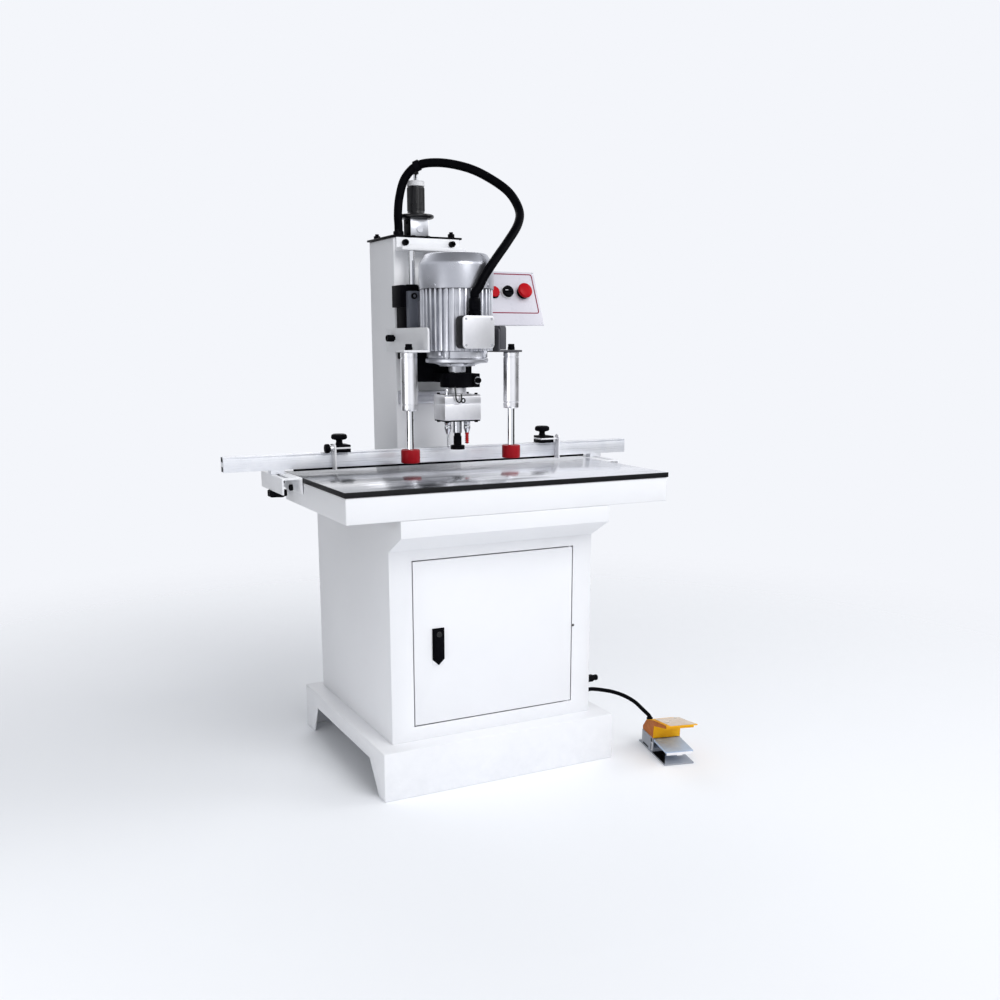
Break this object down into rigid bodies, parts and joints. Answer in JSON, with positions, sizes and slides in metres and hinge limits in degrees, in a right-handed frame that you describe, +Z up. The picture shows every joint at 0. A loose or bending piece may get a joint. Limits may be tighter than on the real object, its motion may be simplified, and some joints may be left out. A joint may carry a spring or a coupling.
{
  "type": "hinge boring machine",
  "caption": "Cabinet-based woodworking machine that bores hinge cups: sliding fence table, motor-driven multi-spindle head on a column, pneumatic clamps and a foot valve.",
  "frame": {"origin": "on the floor, in the middle of the machine's footprint box", "axes": "+Z up, -Y towards the operator (the door side), +X to the operator's right"},
  "size_m": [1.11, 0.7968, 1.4774],
  "materials": {
    "white_paint": "satin powder coat, slightly textured",
    "black_paint": "satin black",
    "grey_paint": "satin grey",
    "silver_cast": "fine cast aluminium, silver lacquer",
    "aluminium": "anodised aluminium",
    "black_aluminium": "black anodised aluminium",
    "ground_steel": "ground and polished steel",
    "dark_board": "dark polished laminate board with a black edge",
    "chrome_rod": "hard-chromed and polished",
    "black_plastic": "matt black moulding",
    "hose_rubber": "smooth black hose",
    "red_pad": "dark red cast polyurethane",
    "red_plastic": "glossy red moulding",
    "red_bit": "steel with a red-lacquered bit",
    "orange_plastic": "glossy orange-yellow moulding"
  },
  "bodies": {
    "machine": {"base_frame": "white_paint", "cabinet_shell": "white_paint", "table_frame": "white_paint", "table_plate": "dark_board", "column": "white_paint", "column_cap": "black_paint", "top_bracket": "white_paint", "lower_bracket": "silver_cast", "guide_rod_left": "chrome_rod", "guide_rod_right": "chrome_rod", "feed_cylinder": "aluminium", "clamp_bracket_left": "white_paint", "clamp_bracket_right": "white_paint", "clamp_cylinder_left": "aluminium", "clamp_cylinder_right": "aluminium", "fence_rail_left": "white_paint", "fence_rail_right": "white_paint", "control_box": "white_paint", "control_panel": "white_paint", "air_inlet": "black_plastic", "hose_grommet": "black_plastic", "service_panel": "grey_paint", "pedal_base": "grey_paint", "pedal_guard": "orange_plastic", "conduit_hose": "hose_rubber", "foot_hose": "hose_rubber"},
    "door": {"door": "white_paint"},
    "latch": {"latch_handle": "black_plastic"},
    "fence": {"fence": "aluminium"},
    "fence_knob_left": {"fence_knob_left": "black_plastic"},
    "fence_knob_right": {"fence_knob_right": "black_plastic"},
    "stop_left": {"stop_block_left": "black_plastic"},
    "stop_right": {"stop_block_right": "black_plastic"},
    "stop_arm_left": {"stop_arm_left": "white_paint"},
    "stop_arm_right": {"stop_arm_right": "white_paint"},
    "stop_knob_left": {"stop_knob_left": "black_plastic"},
    "stop_knob_right": {"stop_knob_right": "black_plastic"},
    "head": {"carriage": "black_aluminium", "motor_plate": "grey_paint", "motor_housing": "silver_cast", "fan_cowl": "silver_cast", "end_shield": "silver_cast", "terminal_box": "black_plastic", "terminal_lid": "silver_cast", "spindle_bracket": "black_aluminium", "gear_head": "silver_cast", "feed_rod": "ground_steel"},
    "drive": {"rotor_shaft": "ground_steel", "centre_spindle": "ground_steel"},
    "left_spindle": {"left_spindle": "ground_steel"},
    "right_spindle": {"right_spindle": "red_bit"},
    "clamp_left": {"clamp_rod_left": "chrome_rod", "clamp_pad_left": "red_pad"},
    "clamp_right": {"clamp_rod_right": "chrome_rod", "clamp_pad_right": "red_pad"},
    "start_button": {"start_button": "red_plastic"},
    "selector": {"selector_switch": "black_plastic"},
    "stop_button": {"stop_button": "red_plastic"},
    "depth_wheel": {"depth_wheel": "black_plastic"},
    "treadle": {"pedal_treadle": "ground_steel"}
  },
  "joints": [
    {"name": "door_hinge", "type": "hinge", "parent": "machine", "child": "door", "pos_m": [0.202, -0.19757, 0.3475], "axis": [0, 0, 1], "range_deg": [0, 110]},
    {"name": "latch_pull", "type": "hinge", "parent": "door", "child": "latch", "pos_m": [-0.1515, -0.20587, 0.379], "axis": [1, 0, 0], "range_deg": [-40, 0]},
    {"name": "fence_slide", "type": "slide", "parent": "machine", "child": "fence", "axis": [0, 1, 0], "range_m": [-0.05, 0.045]},
    {"name": "fence_knob_left_turn", "type": "hinge", "parent": "fence", "child": "fence_knob_left", "pos_m": [-0.4268, 0.11493, 0.69], "axis": [0, 0, 1], "range_deg": [-360, 0]},
    {"name": "fence_knob_right_turn", "type": "hinge", "parent": "fence", "child": "fence_knob_right", "pos_m": [0.4608, 0.11493, 0.69], "axis": [0, 0, 1], "range_deg": [-360, 0]},
    {"name": "stop_left_slide", "type": "slide", "parent": "fence", "child": "stop_left", "axis": [1, 0, 0], "range_m": [-0.15, 0.08]},
    {"name": "stop_right_slide", "type": "slide", "parent": "fence", "child": "stop_right", "axis": [1, 0, 0], "range_m": [-0.08, 0.15]},
    {"name": "stop_arm_left_flip", "type": "hinge", "parent": "stop_left", "child": "stop_arm_left", "pos_m": [-0.289, 0.09083, 0.777], "axis": [1, 0, 0], "range_deg": [-90, 0]},
    {"name": "stop_arm_right_flip", "type": "hinge", "parent": "stop_right", "child": "stop_arm_right", "pos_m": [0.332, 0.09083, 0.777], "axis": [1, 0, 0], "range_deg": [-90, 0]},
    {"name": "stop_knob_left_turn", "type": "hinge", "parent": "stop_left", "child": "stop_knob_left", "pos_m": [-0.2677, 0.11493, 0.8], "axis": [0, 0, 1], "range_deg": [0, 180]},
    {"name": "stop_knob_right_turn", "type": "hinge", "parent": "stop_right", "child": "stop_knob_right", "pos_m": [0.299, 0.11493, 0.8], "axis": [0, 0, 1], "range_deg": [0, 180]},
    {"name": "head_feed", "type": "slide", "parent": "machine", "child": "head", "axis": [0, 0, 1], "range_m": [-0.045, 0], "deforming": ["conduit_hose"]},
    {"name": "drive_spin", "type": "hinge", "parent": "head", "child": "drive", "pos_m": [0.012, 0.03243, 0.9], "axis": [0, 0, 1], "continuous": true},
    {"name": "left_spindle_spin", "type": "hinge", "parent": "head", "child": "left_spindle", "pos_m": [-0.014, 0.03243, 0.82], "axis": [0, 0, 1], "continuous": true},
    {"name": "right_spindle_spin", "type": "hinge", "parent": "head", "child": "right_spindle", "pos_m": [0.038, 0.03243, 0.82], "axis": [0, 0, 1], "continuous": true},
    {"name": "clamp_left_press", "type": "slide", "parent": "machine", "child": "clamp_left", "axis": [0, 0, 1], "range_m": [-0.021, 0]},
    {"name": "clamp_right_press", "type": "slide", "parent": "machine", "child": "clamp_right", "axis": [0, 0, 1], "range_m": [-0.021, 0]},
    {"name": "start_press", "type": "slide", "parent": "machine", "child": "start_button", "axis": [0, 0.9099, -0.4148], "range_m": [0, 0.003], "stiffness_N_per_m": 300, "springref_m": -0.002},
    {"name": "selector_turn", "type": "hinge", "parent": "machine", "child": "selector", "pos_m": [0.2058, 0.14163, 1.1516], "axis": [0, -0.9099, 0.4148], "range_deg": [-90, 0]},
    {"name": "stop_press", "type": "slide", "parent": "machine", "child": "stop_button", "axis": [0, 0.9099, -0.4148], "range_m": [0, 0.005], "stiffness_N_per_m": 400, "springref_m": -0.002},
    {"name": "depth_wheel_turn", "type": "hinge", "parent": "machine", "child": "depth_wheel", "pos_m": [0.012, 0.27443, 1.38], "axis": [0, 0, 1], "continuous": true},
    {"name": "treadle_press", "type": "hinge", "parent": "machine", "child": "treadle", "pos_m": [0.44984, -0.26916, 0.027], "axis": [0.9703, -0.2419, 0], "range_deg": [0, 11], "stiffness_Nm_per_rad": 4, "springref_deg": -20.05}
  ],
  "couplings": [
    {"joint": "left_spindle_spin", "follows": "drive_spin", "ratio": -1},
    {"joint": "right_spindle_spin", "follows": "drive_spin", "ratio": -1}
  ]
}
